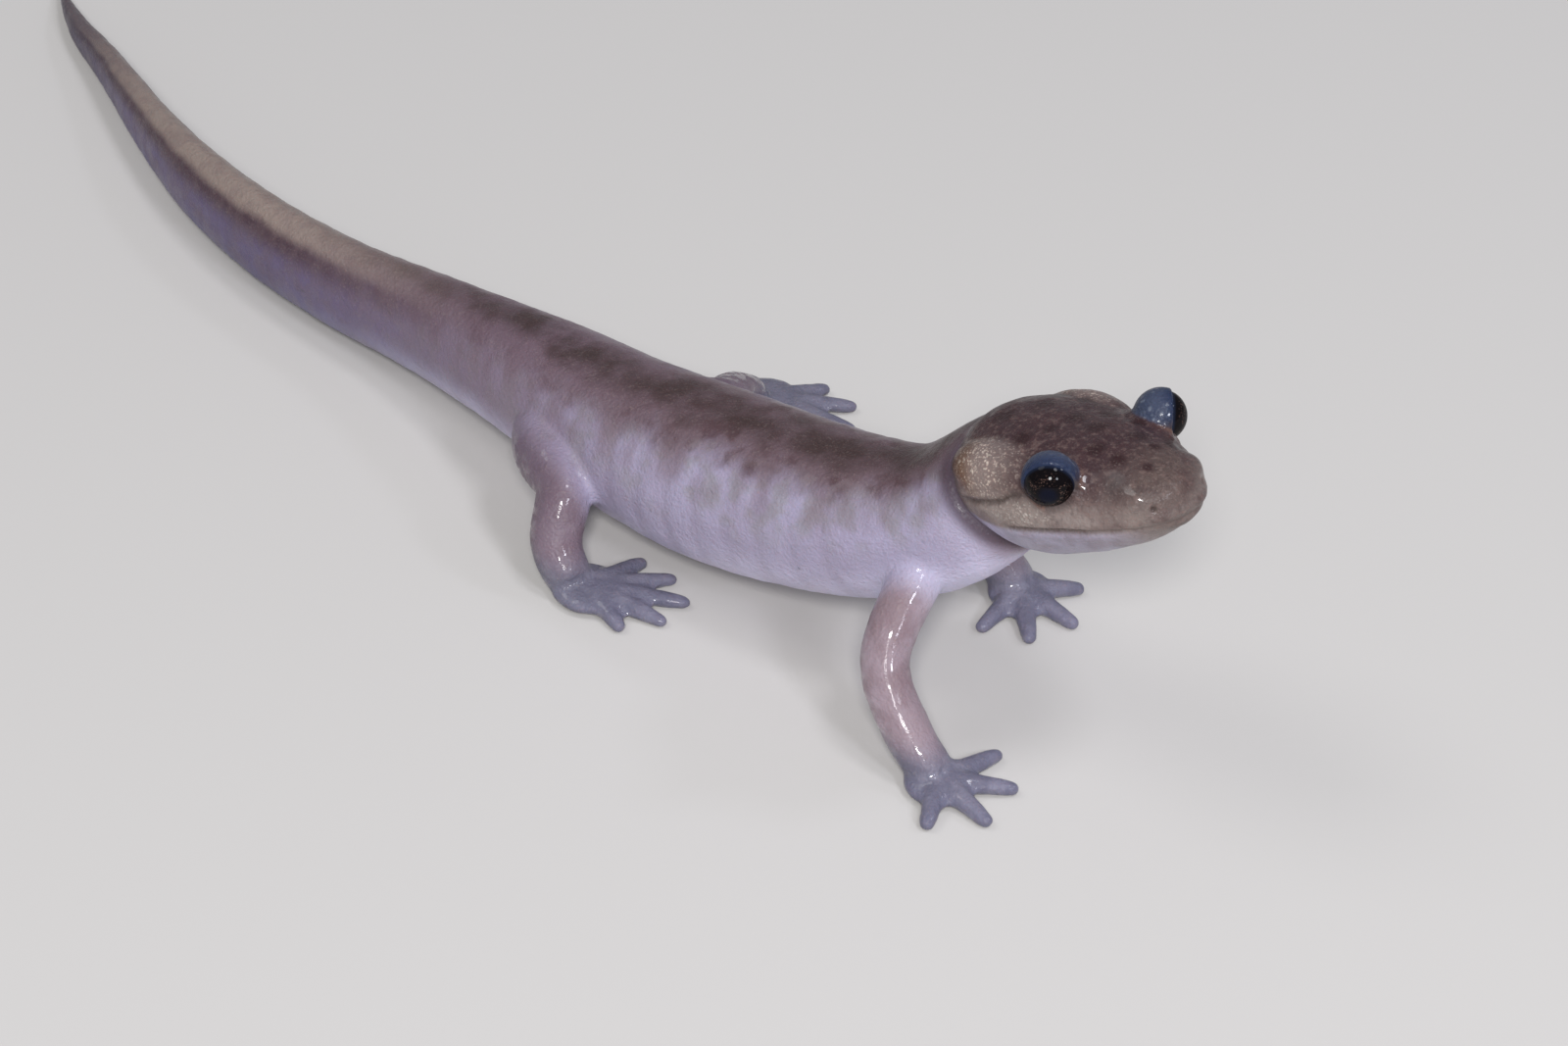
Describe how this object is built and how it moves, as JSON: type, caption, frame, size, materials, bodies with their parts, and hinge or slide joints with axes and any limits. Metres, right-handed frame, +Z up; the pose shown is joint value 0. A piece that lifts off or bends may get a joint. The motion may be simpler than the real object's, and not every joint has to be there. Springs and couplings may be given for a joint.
{
  "type": "northwestern salamander model",
  "caption": "Still life-size model of a young mole salamander on its feet, head and chest raised, limbs spread, tail trailing in a gentle curve.",
  "frame": {"origin": "on the floor, under the middle of the animal's box", "axes": "+X towards the head, +Y to the animal's left, +Z up"},
  "size_m": [0.1132, 0.0262, 0.0217],
  "materials": {
    "head_skin": "wet, brown",
    "body_skin": "wet, lilac grey",
    "tail_skin": "wet, brown",
    "limb_skin": "wet, pinkish brown",
    "foot_skin": "wet, bluish grey",
    "eye": "polished, black"
  },
  "bodies": {
    "root": {"head": "head_skin", "eye_left": "eye", "eye_right": "eye", "neck": "body_skin", "chest": "body_skin", "torso": "body_skin", "hips": "body_skin", "tail_base": "tail_skin", "tail_middle": "tail_skin", "tail_end": "tail_skin", "upper_arm_left": "limb_skin", "forearm_left": "limb_skin", "hand_left": "foot_skin", "upper_arm_right": "limb_skin", "forearm_right": "limb_skin", "hand_right": "foot_skin", "thigh_left": "limb_skin", "shank_left": "limb_skin", "foot_left": "foot_skin", "thigh_right": "limb_skin", "shank_right": "limb_skin", "foot_right": "foot_skin"}
  },
  "joints": []
}
